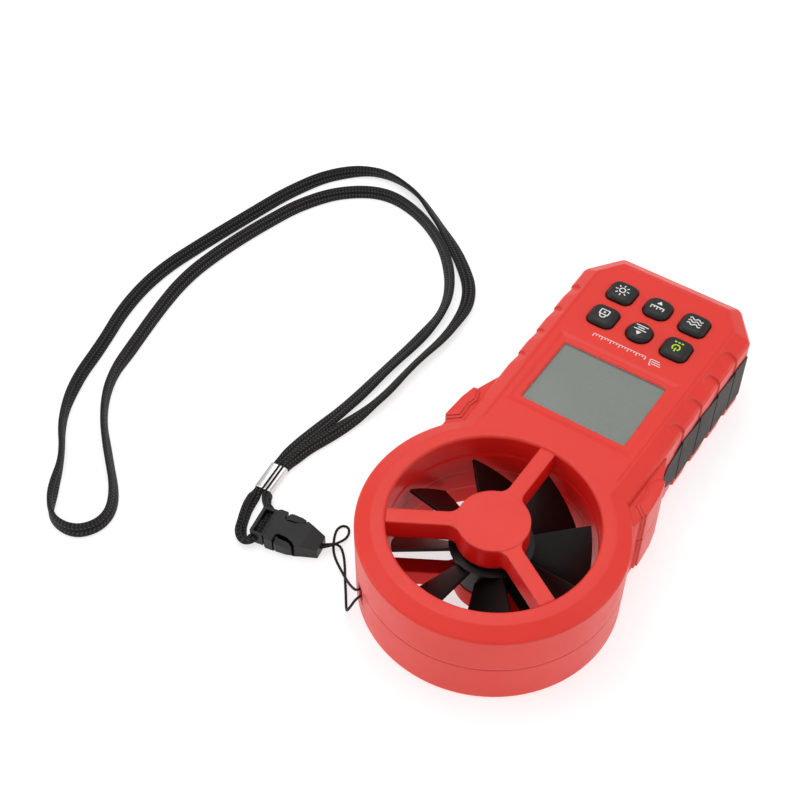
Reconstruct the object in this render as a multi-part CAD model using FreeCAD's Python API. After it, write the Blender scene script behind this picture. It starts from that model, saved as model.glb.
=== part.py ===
import FreeCAD, Part
import math
import os

# Vane anemometer lying on its back: a hand-held instrument body with a fan ring at one end, and a
# wrist strap on a quick-release buckle.
# Frame: millimetres, +Z up through the display face, +Y toward the fan ring, origin under the middle
# of the instrument on the surface it lies on.

Vector = FreeCAD.Vector
UP = Vector(0, 0, 1)

# ---------------------------------------------------------------- driving dimensions
LENGTH = 164.4            # tail end to the far side of the ring
FACE_Z = 32.5             # height of the display face
PARTING_Z = 16.0          # joint between the two shells
GROOVE_HALF = 0.12        # half height of the fine groove along that joint
WALL = 2.2                # shell wall
RUN_GAP = 0.3             # clearance round parts that slide

RING_R = 41.3             # outside of the ring at its upper edge
RING_R_LOW = 41.0         # outside of the ring at the back, drafted
RING_Y = LENGTH / 2 - RING_R
TAIL_Y = -LENGTH / 2
LIP_R = 36.4              # where the flat lip of the ring turns into its bevel
BORE_R = 32.0             # air passage at either face
THROAT_R = 31.7           # air passage round the rotor
BEVEL_Z = 30.3

TAIL_HALF = 22.2          # half width of the flat tail end
GRIP_HALF = 31.2          # half width of the body behind the tail chamfers
NECK_HALF = 29.3          # half width of the body where it meets the ring
CHAMFER_Y = TAIL_Y + 12.0
CREASE = 5.2              # width of the sloped border round the face
SHOULDER_Z = 28.6         # top of the vertical side

SEGMENT = 12.15           # pitch of the grip segments
SEGMENTS = 4
FIRST_PAD_Y = -57.7
PAD_R = 3.1
PAD_X = 29.2
GRIP_PROUD = 0.35
GRIP_DEPTH = 1.5
GRIP_Z = (4.8, 23.4)
GRIP_Y = (CHAMFER_Y - 0.8, -13.2)
SCOOP_TILT = 7.0          # slope of the finger scoops, deepest at their tail end
SCOOP_UNDER = 2.0         # how far the scoops run in under the grip

SCREEN_HALF = 18.3
SCREEN_Y = (-33.9, -5.8)
SCREEN_Z = 31.9
SCREEN_FLARE = 0.4
SCREEN_T = 0.7

KEY_PITCH_X = 13.4
KEY_ROWS = (-50.4, -63.5)
KEY_TRAVEL = 0.8
KEY_TOP_Z = 34.4

BOARD_Z = 22.4
BOARD_T = 1.6

HUB_R = 11.1              # hub of the finger guards
SPOKE_W = 5.0
SPOKE_AZIMUTHS = (30.0, 150.0, 270.0)
GUARD_FRONT = (24.6, 32.0)
GUARD_BACK = (0.5, 7.0)
AXLE_R = 0.75
BLADES = 8
BLADE_TIP_R = 30.3
BLADE_MIDDLE_Z = 18.2
BLADE_REST = 31.5         # azimuth of the first blade with the rotor at rest
ROTOR_HUB_R = 11.4
ROTOR_FLANGE_R = 13.0

MAGNET_R = (3.0, 5.6)

BATTERY = (26.5, 48.5, 17.5)
BATTERY_END_Y = -76.5
DOOR_HALF = 14.0
DOOR_END_Y = -26.0
DOOR_T = 2.6

STRAP_D = 2.4             # strap as a round cord of the strap's mean thickness
THIN_D = 0.9              # cord loop between the buckle and the eye
EYE_AZIMUTH = 50.5
EYE_Z = (8.0, 15.0)
EYE_BAR_R = 0.4


# ---------------------------------------------------------------- drawing helpers
def box(x0, x1, y0, y1, z0, z1):
    return Part.makeBox(x1 - x0, y1 - y0, z1 - z0, Vector(x0, y0, z0))


def cylinder(x, y, radius, z0, z1):
    return Part.makeCylinder(radius, z1 - z0, Vector(x, y, z0))


def mirrored(shape):
    """The same piece on the other side of the body's middle plane."""
    return shape.mirror(Vector(0, 0, 0), Vector(1, 0, 0))


def both_sides(shape):
    return Part.makeCompound([shape, mirrored(shape)])


def offset_polygon(points, inset):
    """A counter-clockwise polygon with every edge moved inward by inset."""
    edges = []
    for k, (x0, y0) in enumerate(points):
        x1, y1 = points[(k + 1) % len(points)]
        span = math.hypot(x1 - x0, y1 - y0)
        normal = (-(y1 - y0) / span, (x1 - x0) / span)
        edges.append((normal, normal[0] * x0 + normal[1] * y0 + inset))
    moved = []
    for k in range(len(points)):
        (ax, ay), a = edges[k - 1]
        (bx, by), b = edges[k]
        det = ax * by - ay * bx
        moved.append(((a * by - b * ay) / det, (ax * b - bx * a) / det))
    return moved


def rounded_wire(points, radius, z):
    """A closed outline at height z with every corner rounded."""
    starts = []
    count = len(points)
    for k in range(count):
        corner = Vector(*points[k], z)
        before = (Vector(*points[k - 1], z) - corner).normalize()
        after = (Vector(*points[(k + 1) % count], z) - corner).normalize()
        half = before.getAngle(after) / 2
        setback = radius / math.tan(half)
        inward = (before + after).normalize()
        middle = corner + inward * (radius / math.sin(half) - radius)
        starts.append((corner + before * setback, middle, corner + after * setback))
    edges = []
    for k in range(count):
        first, middle, last = starts[k]
        edges.append(Part.Arc(first, middle, last).toShape())
        edges.append(Part.makeLine(last, starts[(k + 1) % count][0]))
    return Part.Wire(edges)


def rounded_prism(points, radius, z0, z1):
    return Part.Face(rounded_wire(points, radius, z0)).extrude(UP * (z1 - z0))


def rectangle(half_x, half_y, centre_x=0.0, centre_y=0.0):
    return [(centre_x - half_x, centre_y - half_y), (centre_x + half_x, centre_y - half_y),
            (centre_x + half_x, centre_y + half_y), (centre_x - half_x, centre_y + half_y)]


def polygon_face(points):
    return Part.Face(Part.makePolygon(points + [points[0]]))


def turned(profile, x, y):
    """A solid of revolution about the vertical line through (x, y), from (radius, z) points."""
    face = polygon_face([Vector(x + radius, y, z) for radius, z in profile])
    return face.revolve(Vector(x, y, 0), UP, 360)


def ring_turned(profile):
    return turned(profile, 0, RING_Y)


def fuse(first, *others):
    return first.fuse(list(others)).removeSplitter()


# ---------------------------------------------------------------- outer form of the body
HANDLE = [(-TAIL_HALF, TAIL_Y), (TAIL_HALF, TAIL_Y), (GRIP_HALF, CHAMFER_Y),
          (NECK_HALF, 20.0), (-NECK_HALF, 20.0), (-GRIP_HALF, CHAMFER_Y)]
CORNER_R = 2.5


def handle_form(swell=0.0):
    """The handle as a stack of rounded outlines; swell moves every face outward."""
    levels = ((1.6, -swell), (0.0, 1.6), (0.0, SHOULDER_Z), (0.8, 29.8 + swell * 0.8),
              (CREASE, FACE_Z + swell))
    wires = []
    for inset, z in levels:
        radius = max(CORNER_R - inset * 0.25, 0.8)
        wires.append(rounded_wire(offset_polygon(HANDLE, inset - swell), radius, z))
    return Part.makeLoft(wires, True, True)


def ring_form():
    profile = [(BORE_R - 6.0, 0.0), (RING_R_LOW - 1.0, 0.0), (RING_R_LOW, 1.0), (RING_R, BEVEL_Z - 0.4),
               (RING_R - 0.5, BEVEL_Z + 0.1), (LIP_R, FACE_Z), (BORE_R - 6.0, FACE_Z)]
    return ring_turned(profile)


SHOULDER_BASE = [(26.0, -12.0), (30.3, -12.5), (33.2, -4.6), (34.2, 2.0), (34.6, 9.0), (34.6, 15.2),
                 (33.4, 17.4), (31.5, 18.6), (20.0, 18.6)]
SHOULDER_STEP_A = [(32.0, -3.4), (33.9, -4.0), (34.9, 2.0), (35.2, 9.0), (35.2, 12.2), (34.6, 12.2),
                   (31.1, 9.2), (31.4, 3.2), (30.6, 0.2)]
SHOULDER_STEP_B = [(33.0, -3.2), (34.4, -3.5), (35.4, 2.0), (35.8, 9.0), (35.8, 11.2), (35.0, 11.2),
                   (32.1, 8.7), (32.4, 3.3), (31.7, 0.5)]


def shoulder_layers():
    """The stepped shoulder between the grip and the ring, on the +X side, in three layers."""
    layers = []
    for outline, low, high in ((SHOULDER_BASE, 0.9, 27.6), (SHOULDER_STEP_A, 1.5, 27.95),
                               (SHOULDER_STEP_B, 2.1, 28.3)):
        face = polygon_face([Vector(x, y, low) for x, y in outline])
        layers.append(face.extrude(UP * (high - low)))
    return layers


def scoop_outline(tail_y, z0, z1):
    """Upright prism in a scoop's outline: a half disc on the border, run out past the side wall."""
    outside = GRIP_HALF + 2.0
    centre_y = tail_y + PAD_R
    strip = box(PAD_X, outside, tail_y, tail_y + 2 * PAD_R, z0, z1)
    return strip.fuse(cylinder(PAD_X, centre_y, PAD_R, z0, z1))


def scoops():
    """Shallow thumb-nail scoops above and below each grip segment, flush at their ring end."""
    tools = []
    for k in range(SEGMENTS):
        tail_y = FIRST_PAD_Y - PAD_R + SEGMENT * k
        hinge = Vector(PAD_X + 0.8, tail_y + 2 * PAD_R - 0.2, 28.6)
        upper_floor = handle_form()
        upper_floor.rotate(hinge, Vector(-0.853, 0, 0.523), -SCOOP_TILT)
        lower_floor = handle_form()
        lower_floor.rotate(Vector(GRIP_HALF, hinge.y, 0), UP, -SCOOP_TILT)
        upper = scoop_outline(tail_y, GRIP_Z[1] - SCOOP_UNDER, FACE_Z + 2.0).cut(upper_floor)
        lower = scoop_outline(tail_y, 0.3, GRIP_Z[0] + SCOOP_UNDER).cut(lower_floor)
        tools += [upper, lower, mirrored(upper), mirrored(lower)]
    return tools


def body_form():
    """The whole outside of the instrument, solid, with the air passage through it."""
    form = handle_form().fuse([ring_form()])
    for layer in shoulder_layers():
        form = form.fuse([layer, mirrored(layer)])
    passage = ring_turned([(0, -1), (BORE_R + 0.6, -1), (BORE_R + 0.6, 0.0), (BORE_R, 0.6), (BORE_R, 7.6),
                           (THROAT_R, 8.4), (THROAT_R, 23.6), (BORE_R, 24.4), (BORE_R, FACE_Z - 0.6),
                           (BORE_R + 0.6, FACE_Z), (BORE_R + 0.6, FACE_Z + 1), (0, FACE_Z + 1)])
    return form.cut([passage] + scoops()).removeSplitter()


# ---------------------------------------------------------------- rubber side grips
def grip_side_view():
    """Outline of the +X grip in the YZ plane: blunt at the tail, pointed at the ring end."""
    low, high = GRIP_Z
    points = [(GRIP_Y[0], low + 1.5), (GRIP_Y[0] + 1.4, low)]
    for k in range(SEGMENTS):
        groove = FIRST_PAD_Y - PAD_R + SEGMENT * k
        points += [(groove - 0.2, low - 0.4), (groove + 0.2, low + 0.9)]
    points += [(GRIP_Y[1] - 4.0, low + 3.0), (GRIP_Y[1], 12.5), (GRIP_Y[1], 15.5), (GRIP_Y[1] - 2.2, 20.0)]
    for k in reversed(range(SEGMENTS)):
        groove = FIRST_PAD_Y - PAD_R + SEGMENT * k
        points += [(groove + 0.2, high - 0.9), (groove - 0.2, high + 0.4)]
    points += [(GRIP_Y[0] + 1.4, high), (GRIP_Y[0], high - 1.5)]
    return [Vector(0, y, z) for y, z in points]


def grip_solid():
    outside = rounded_prism(offset_polygon(HANDLE, -GRIP_PROUD), CORNER_R, 0, FACE_Z)
    inside = rounded_prism(offset_polygon(HANDLE, GRIP_DEPTH), CORNER_R - 0.5, -1, FACE_Z + 1)
    stencil = polygon_face(grip_side_view()).extrude(Vector(60, 0, 0))
    return outside.cut(inside).common(stencil)


def grip_grooves():
    """Narrow grooves that divide the grip into segments."""
    cuts = []
    for k in range(SEGMENTS):
        groove = FIRST_PAD_Y - PAD_R + SEGMENT * k
        cuts.append(box(28.0, 40.0, groove - 0.4, groove + 0.4, 0, FACE_Z))
    core = rounded_prism(offset_polygon(HANDLE, 0.45), CORNER_R, -1, FACE_Z + 1)
    return Part.makeCompound(cuts).cut(core)


# ---------------------------------------------------------------- hollow inside
CAVITY_INSET = 3.7
INNER_BACK_Z = 2.6
INNER_FACE_Z = 30.2


def cavity_form():
    """The free space inside both shells: the handle's chamber and the ring's channel."""
    wires = []
    for inset, z in ((CAVITY_INSET, INNER_BACK_Z), (CAVITY_INSET, 27.6), (6.4, INNER_FACE_Z)):
        wires.append(rounded_wire(offset_polygon(HANDLE, inset), 1.5, z))
    chamber = Part.makeLoft(wires, True, True)
    chamber = chamber.cut(box(-60, 60, 2.0, 40, -1, 60))
    inner_r = THROAT_R + WALL + 0.6
    outer_r = RING_R_LOW - WALL
    chamber = chamber.cut(cylinder(0, RING_Y, outer_r, -1, 60))
    channel = ring_turned([(inner_r, INNER_BACK_Z), (outer_r, INNER_BACK_Z), (outer_r, 28.0),
                           (LIP_R, 29.9), (inner_r, 29.9)])
    return chamber, channel


def eye_direction():
    azimuth = math.radians(EYE_AZIMUTH)
    radial = Vector(math.cos(azimuth), math.sin(azimuth), 0)
    along = Vector(-math.sin(azimuth), math.cos(azimuth), 0)
    return radial, along


EYE_BAR_AT_R = RING_R_LOW - WALL / 2


def eye_bar_centre():
    radial, _ = eye_direction()
    return Vector(0, RING_Y, 0) + radial * EYE_BAR_AT_R


def eye_slot():
    """Slot through the ring's outer wall for the cord."""
    radial, along = eye_direction()
    centre = eye_bar_centre()
    z0, z1 = EYE_Z
    corners = [centre + radial * 3 - along * 1.2, centre + radial * 3 + along * 1.9,
               centre - radial * 2.4 + along * 2.3, centre - radial * 2.4 - along * 2.1]
    return polygon_face([Vector(c.x, c.y, z0) for c in corners]).extrude(UP * (z1 - z0))


# ---------------------------------------------------------------- fasteners and bosses
CASE_SCREWS = [(-24.6, -64.0), (24.6, -64.0), (-24.4, -3.2), (24.4, -3.2)]
BOARD_SCREWS = [(-18.8, -41.0), (18.8, -41.0), (-18.8, -72.0), (18.8, -72.0)]
CASE_BOSS_R = 2.9
BOARD_BOSS_R = 2.2
SCREW_HEAD_Z = 1.6


def bosses():
    """Posts inside the shells for the case screws, and under the face for the board."""
    posts = [cylinder(x, y, CASE_BOSS_R, INNER_BACK_Z - 1, 29.6) for x, y in CASE_SCREWS]
    top = BOARD_Z + BOARD_T
    posts += [cylinder(x, y, BOARD_BOSS_R, top, INNER_FACE_Z + 1) for x, y in BOARD_SCREWS]
    return posts


def case_screws():
    """Countersunk screws driven from the back, through the rear shell into the front shell."""
    profile = [(0, SCREW_HEAD_Z), (2.6, SCREW_HEAD_Z), (2.6, 2.0), (1.25, 3.6), (1.25, 22.0), (0, 23.0)]
    return [turned(profile, x, y) for x, y in CASE_SCREWS]


def screw_wells():
    """Round wells over the screw heads."""
    return [cylinder(x, y, 2.9, -1.0, SCREW_HEAD_Z) for x, y in CASE_SCREWS]


# ---------------------------------------------------------------- shells
def window_cut():
    half_y = (SCREEN_Y[1] - SCREEN_Y[0]) / 2
    centre_y = (SCREEN_Y[1] + SCREEN_Y[0]) / 2
    opening = rectangle(SCREEN_HALF, half_y, 0, centre_y)
    wide = rectangle(SCREEN_HALF + SCREEN_FLARE, half_y + SCREEN_FLARE, 0, centre_y)
    straight = rounded_prism(opening, 0.8, INNER_FACE_Z - 3, FACE_Z + 1)
    flare = Part.makeLoft([rounded_wire(opening, 0.8, SCREEN_Z), rounded_wire(wide, 1.2, FACE_Z + 0.01)],
                          True, True)
    return straight.fuse(flare)


def key_places():
    """Name, centre and half size of each of the six keys."""
    places = []
    for row, y in zip(("front", "tail"), KEY_ROWS):
        for column, x in zip(("left", "middle", "right"), (-KEY_PITCH_X, 0.0, KEY_PITCH_X)):
            half = 4.65
            corner = 2.6
            if column == "middle":
                half = 4.55
                corner = 3.3
            if column == "middle" and row == "front":
                half = 4.3
                corner = 3.9
            places.append((f"key_{row}_{column}", x, y, half, corner))
    return places


def key_holes():
    holes = []
    for _, x, y, half, corner in key_places():
        outline = rectangle(half + RUN_GAP, half + RUN_GAP, x, y)
        holes.append(rounded_prism(outline, corner + RUN_GAP, INNER_FACE_Z - 1, FACE_Z + 1))
    return holes


def parting_groove(form):
    slim = rounded_prism(offset_polygon(HANDLE, 0.2), CORNER_R, PARTING_Z - 1, PARTING_Z + 1)
    slim = slim.fuse(cylinder(0, RING_Y, RING_R_LOW, PARTING_Z - 1, PARTING_Z + 1))
    for sign in (1, -1):
        corner = [(sign * 20.0, -12.0), (sign * 30.0, -11.9), (sign * 32.85, -4.5), (sign * 33.85, 2.0),
                  (sign * 34.25, 9.0), (sign * 34.25, 15.0), (sign * 31.0, 18.0), (sign * 20.0, 18.0)]
        prism = polygon_face([Vector(x, y, PARTING_Z - 1) for x, y in corner]).extrude(UP * 2)
        slim = slim.fuse(prism)
    band = form.common(box(-60, 60, -90, 90, PARTING_Z - GROOVE_HALF, PARTING_Z + GROOVE_HALF))
    return band.cut(slim)


def door_cut():
    """Opening and side grooves in the back for the battery cover."""
    plate = box(-DOOR_HALF - 0.2, DOOR_HALF + 0.2, TAIL_Y - 2, DOOR_END_Y + 0.2, -1, DOOR_T + 0.2)
    rails = box(-DOOR_HALF - 1.5, DOOR_HALF + 1.5, TAIL_Y - 2, DOOR_END_Y + 0.2, 1.0, 1.9)
    return plate.fuse(rails)


def shells():
    form = body_form()
    chamber, channel = cavity_form()
    groove = parting_groove(form)
    grip = grip_solid()
    grips = [grip, mirrored(grip)]
    screws = case_screws() + board_screws()
    hollow = form.cut([chamber, channel, groove] + grips)
    hollow = hollow.fuse([post.common(chamber) for post in bosses()])
    upper = box(-60, 60, -90, 90, PARTING_Z, 60)
    lower = box(-60, 60, -90, 90, -5, PARTING_Z)
    front = hollow.common(upper).cut([window_cut()] + key_holes() + screws)
    rear = hollow.common(lower).cut([door_cut(), eye_slot()] + screws + screw_wells())
    return front.removeSplitter(), rear.removeSplitter()


# ---------------------------------------------------------------- battery cover and battery
def battery_cover():
    form = handle_form()
    plate = form.common(box(-DOOR_HALF, DOOR_HALF, TAIL_Y - 2, DOOR_END_Y, -1, DOOR_T))
    rails = box(-DOOR_HALF - 1.2, DOOR_HALF + 1.2, TAIL_Y + 2.4, DOOR_END_Y, 1.15, 1.75)
    cover = fuse(plate, rails)
    ribs = [box(-7.0, 7.0, -71.0 + 2.2 * k, -70.0 + 2.2 * k, -1, 0.5) for k in range(5)]
    return cover.cut(ribs)


def battery():
    width, length, height = BATTERY
    z0 = DOOR_T + 0.5
    outline = rectangle(width / 2, length / 2, 0, BATTERY_END_Y + length / 2)
    body = rounded_prism(outline, 2.0, z0, z0 + height)
    end = BATTERY_END_Y + length
    middle_z = z0 + height / 2
    posts = [Part.makeCylinder(radius, 2.6, Vector(x, end, middle_z), Vector(0, 1, 0))
             for x, radius in ((-6.4, 2.9), (6.4, 3.9))]
    return body, posts, end, middle_z


def battery_snap(end, middle_z):
    block = box(-12.5, 12.5, end + 0.2, end + 6.4, middle_z - 6.0, middle_z + 6.0)
    sockets = [Part.makeCylinder(4.2, 2.9, Vector(x, end, middle_z), Vector(0, 1, 0)) for x in (-6.4, 6.4)]
    return block.cut(sockets)


def battery_cradle():
    """Ribs of the battery bay that stand on the inside of the rear shell."""
    length = BATTERY[1]
    ribs = []
    for sign in (1, -1):
        near = DOOR_HALF + 0.4
        low, high = sorted((sign * near, sign * (near + 1.4)))
        ribs.append(box(low, high, BATTERY_END_Y, BATTERY_END_Y + length, INNER_BACK_Z, PARTING_Z))
    return ribs


# ---------------------------------------------------------------- display and electronics
def display():
    half_y = (SCREEN_Y[1] - SCREEN_Y[0]) / 2
    centre_y = (SCREEN_Y[1] + SCREEN_Y[0]) / 2
    opening = rectangle(SCREEN_HALF, half_y, 0, centre_y)
    window = rounded_prism(opening, 0.8, SCREEN_Z - SCREEN_T, SCREEN_Z)
    glass = rounded_prism(rectangle(SCREEN_HALF + 1.6, half_y + 2.2, 0, centre_y), 0.3, 27.2, 29.6)
    glass = fuse(glass, rounded_prism(opening, 0.8, 29.0, SCREEN_Z - SCREEN_T))
    outside = rectangle(SCREEN_HALF + 3.0, half_y + 3.6, 0, centre_y)
    inside = rectangle(SCREEN_HALF + 1.7, half_y + 2.3, 0, centre_y)
    frame = rounded_prism(outside, 0.8, BOARD_Z + BOARD_T, 29.2)
    frame = frame.cut(rounded_prism(inside, 0.4, BOARD_Z, 31.0))
    light = box(-SCREEN_HALF + 1.0, SCREEN_HALF - 1.0, SCREEN_Y[0] + 3.0, SCREEN_Y[1] - 3.0,
                BOARD_Z + BOARD_T, 27.0)
    strips = []
    for y in (SCREEN_Y[0] - 1.4, SCREEN_Y[1] - 0.6):
        strips.append(box(-SCREEN_HALF, SCREEN_HALF, y, y + 2.0, BOARD_Z + BOARD_T, 27.2))
    return window, glass, frame, light, strips


def main_board():
    board = rounded_prism(rectangle(21.3, 37.0, 0, -39.0), 1.0, BOARD_Z, BOARD_Z + BOARD_T)
    return board.cut([cylinder(x, y, 1.2, 0, 40) for x, y in BOARD_SCREWS])


def board_screws():
    """Pan-head screws driven up through the board into the front shell's posts."""
    head = BOARD_Z - 1.2
    profile = [(0, head), (1.4, head), (2.1, head + 0.5), (2.1, BOARD_Z), (1.0, BOARD_Z), (1.0, BOARD_Z + 5.4),
               (0, BOARD_Z + 5.4)]
    return [turned(profile, x, y) for x, y in BOARD_SCREWS]


def key_shape(x, y, half, corner):
    """A domed rubber key with a retaining flange under the face."""
    base_z = 28.6
    stem = rounded_prism(rectangle(half, half, x, y), corner, base_z, FACE_Z + 0.9)
    flange = rounded_prism(rectangle(half + 0.8, half + 0.8, x, y), corner, base_z, INNER_FACE_Z - 0.1)
    rings = []
    for inset, z in ((0.0, FACE_Z + 0.9), (0.3, FACE_Z + 1.35), (1.1, KEY_TOP_Z - 0.25), (2.4, KEY_TOP_Z)):
        outline = rectangle(half - inset, half - inset, x, y)
        rings.append(rounded_wire(outline, max(corner - inset, 0.8), z))
    crown = Part.makeLoft(rings, True, True)
    stalk = cylinder(x, y, 1.4, 28.4, base_z)
    return fuse(stem, flange, crown, stalk)


def tact_switches():
    switches = []
    top = BOARD_Z + BOARD_T
    for _, x, y, _, _ in key_places():
        body = box(x - 3.0, x + 3.0, y - 3.0, y + 3.0, top, top + 2.6)
        switches.append(fuse(body, cylinder(x, y, 1.6, top + 2.6, top + 3.5)))
    return switches


def chips():
    """Processor, driver and crystal on the underside of the board."""
    low = BOARD_Z - 1.2
    return [box(-17.5, -8.5, -24.0, -15.0, low, BOARD_Z), box(6.0, 12.0, -22.0, -15.0, low, BOARD_Z),
            box(-3.0, 3.0, -12.0, -8.0, low - 1.0, BOARD_Z)]


# ---------------------------------------------------------------- guards, rotor and its bearings
FRONT_HUB_Z = (23.4, 32.15)
BACK_HUB_Z = (0.3, 8.0)
BEARING_R = 2.6
BEARING_H = 2.4
GUARD_FILLET = 4.0


def hub_fillet_face(half, z):
    """Plan of the rounded corners where a spoke along +X leaves the hub."""
    reach = HUB_R + GUARD_FILLET
    centre = Vector(math.sqrt(reach ** 2 - (half + GUARD_FILLET) ** 2), half + GUARD_FILLET, z)
    on_hub = Vector(centre.x * HUB_R / reach, centre.y * HUB_R / reach, z)
    on_spoke = Vector(centre.x, half, z)
    inward = ((on_hub - centre) + (on_spoke - centre)).normalize()
    middle = centre + inward * GUARD_FILLET
    inside = Vector(HUB_R - 3.0, half + 1.4, z)

    def other(point):
        return Vector(point.x, -point.y, point.z)

    edges = [Part.Arc(on_spoke, middle, on_hub).toShape(), Part.makeLine(on_hub, inside),
             Part.makeLine(inside, other(inside)), Part.makeLine(other(inside), other(on_hub)),
             Part.Arc(other(on_hub), other(middle), other(on_spoke)).toShape(),
             Part.makeLine(other(on_spoke), on_spoke)]
    return Part.Face(Part.Wire(edges))


def guard(spoke_z, hub_z, pocket_z):
    """Hub and three spokes across the air passage."""
    hub = cylinder(0, RING_Y, HUB_R, hub_z[0], hub_z[1])
    pieces = []
    for azimuth in SPOKE_AZIMUTHS:
        half = SPOKE_W / 2
        low, high = spoke_z
        bar = box(0, BORE_R + 3, -half, half, low, high)
        gusset = hub_fillet_face(half, low).extrude(UP * (high - low))
        arm = bar.fuse(gusset)
        arm.rotate(Vector(0, 0, 0), UP, azimuth)
        arm.translate(Vector(0, RING_Y, 0))
        pieces.append(arm)
    whole = hub.fuse(pieces).common(cylinder(0, RING_Y, BORE_R, -1, 40))
    pocket = cylinder(0, RING_Y, BEARING_R, pocket_z[0], pocket_z[1])
    bore = cylinder(0, RING_Y, AXLE_R + 0.5, pocket_z[0] - 1.6, pocket_z[1] + 1.6)
    whole = whole.cut([pocket, bore]).removeSplitter()
    return whole


def bearing(z0):
    return ring_turned([(AXLE_R + 0.03, z0), (BEARING_R, z0), (BEARING_R, z0 + BEARING_H),
                        (AXLE_R + 0.03, z0 + BEARING_H)])


BLADE_HALF_T = 0.45
BLADE_SECTIONS = ((ROTOR_HUB_R - 1.5, 3.9, 6.0, 43.0), (BLADE_TIP_R + 1.5, 8.3, 12.4, 41.0))


def blade(index):
    """One pitched vane; each section gives its radius, its reach up and down the slope, and the slope."""
    sections = []
    for radius, reach_up, reach_down, pitch in BLADE_SECTIONS:
        lean = math.radians(pitch)
        along = Vector(0, math.cos(lean), math.sin(lean))
        across = Vector(0, -math.sin(lean), math.cos(lean)) * BLADE_HALF_T
        centre = Vector(radius, 0, BLADE_MIDDLE_Z)
        low = centre - along * reach_down
        high = centre + along * reach_up
        sections.append(Part.makePolygon([low - across, high - across, high + across, low + across,
                                          low - across]))
    vane = Part.makeLoft(sections, True, True)
    vane = vane.common(cylinder(0, 0, BLADE_TIP_R, 0, 40))
    vane.rotate(Vector(0, 0, 0), UP, 360.0 / BLADES * index + BLADE_REST)
    vane.translate(Vector(0, RING_Y, 0))
    return vane


def rotor_magnet():
    return ring_turned([(MAGNET_R[0], 9.4), (MAGNET_R[1], 9.4), (MAGNET_R[1], 11.4), (MAGNET_R[0], 11.4)])


def rotor_sensor():
    """Pick-up chip set flush in the rear hub, under the magnet."""
    return box(3.3, 6.3, RING_Y - 2.0, RING_Y + 2.0, BACK_HUB_Z[1] - 1.6, BACK_HUB_Z[1])


def impeller():
    cup_r = ROTOR_HUB_R - 1.6
    hub = ring_turned([(AXLE_R, 9.2), (MAGNET_R[0], 9.2), (MAGNET_R[0], 18.8), (cup_r, 18.8), (cup_r, 9.4),
                       (ROTOR_HUB_R, 9.4), (ROTOR_HUB_R, 20.0), (ROTOR_FLANGE_R, 20.4),
                       (ROTOR_FLANGE_R, 21.4), (9.6, 21.9), (9.6, 22.7), (AXLE_R, 22.7)])
    vanes = [blade(k) for k in range(BLADES)]
    return hub.fuse(vanes).removeSplitter()


# ---------------------------------------------------------------- wrist strap
def unit(point_a, point_b):
    return (point_b - point_a).normalize()


def cord_path(points, label):
    """Straight runs joined by tangent arcs; prints the arc radii and returns the path."""
    corners = [Vector(*p) for p in points]
    edges = []
    last = corners[0]
    radii = []
    for k in range(1, len(corners) - 1):
        before = unit(corners[k], corners[k - 1])
        after = unit(corners[k], corners[k + 1])
        half_turn = (math.pi - before.getAngle(after)) / 2
        shorter = min((corners[k] - corners[k - 1]).Length, (corners[k + 1] - corners[k]).Length)
        setback = 0.45 * shorter
        radius = setback / math.tan(half_turn)
        first = corners[k] + before * setback
        final = corners[k] + after * setback
        inward = (before + after).normalize()
        depth = radius / math.cos(half_turn) - radius
        middle = corners[k] + inward * depth
        edges.append(Part.LineSegment(last, first).toShape())
        edges.append(Part.Arc(first, middle, final).toShape())
        radii.append(radius)
        last = final
    edges.append(Part.LineSegment(last, corners[-1]).toShape())
    path = Part.Wire(edges)
    print(label, "length", round(path.Length, 1), "smallest radii", [round(r, 1) for r in sorted(radii)[:6]])
    return path


def cord_tube(points, diameter, label):
    path = cord_path(points, label)
    start = Vector(*points[0])
    heading = unit(start, Vector(*points[1]))
    section = Part.Wire([Part.makeCircle(diameter / 2, start, heading)])
    tube = path.makePipeShell([section], True, False)
    expected = math.pi * diameter ** 2 / 4 * path.Length
    print(label, "volume ratio", round(tube.Volume / expected, 4), "valid", tube.isValid())
    return tube


STRAP_Z = STRAP_D / 2
FERRULE_LENGTH = 10.9
FERRULE_CENTRE = Vector(79.5, 47.1, 0)
FERRULE_AXIS = Vector(0.114, -0.993, 0).normalize()
FERRULE_SIDE = Vector(0.993, 0.114, 0).normalize()
FERRULE_H = 3.2
STRAND_OFFSET = 1.45


def ferrule_point(along, side, z):
    point = FERRULE_CENTRE + FERRULE_AXIS * along + FERRULE_SIDE * side
    return (point.x, point.y, z)


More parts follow.
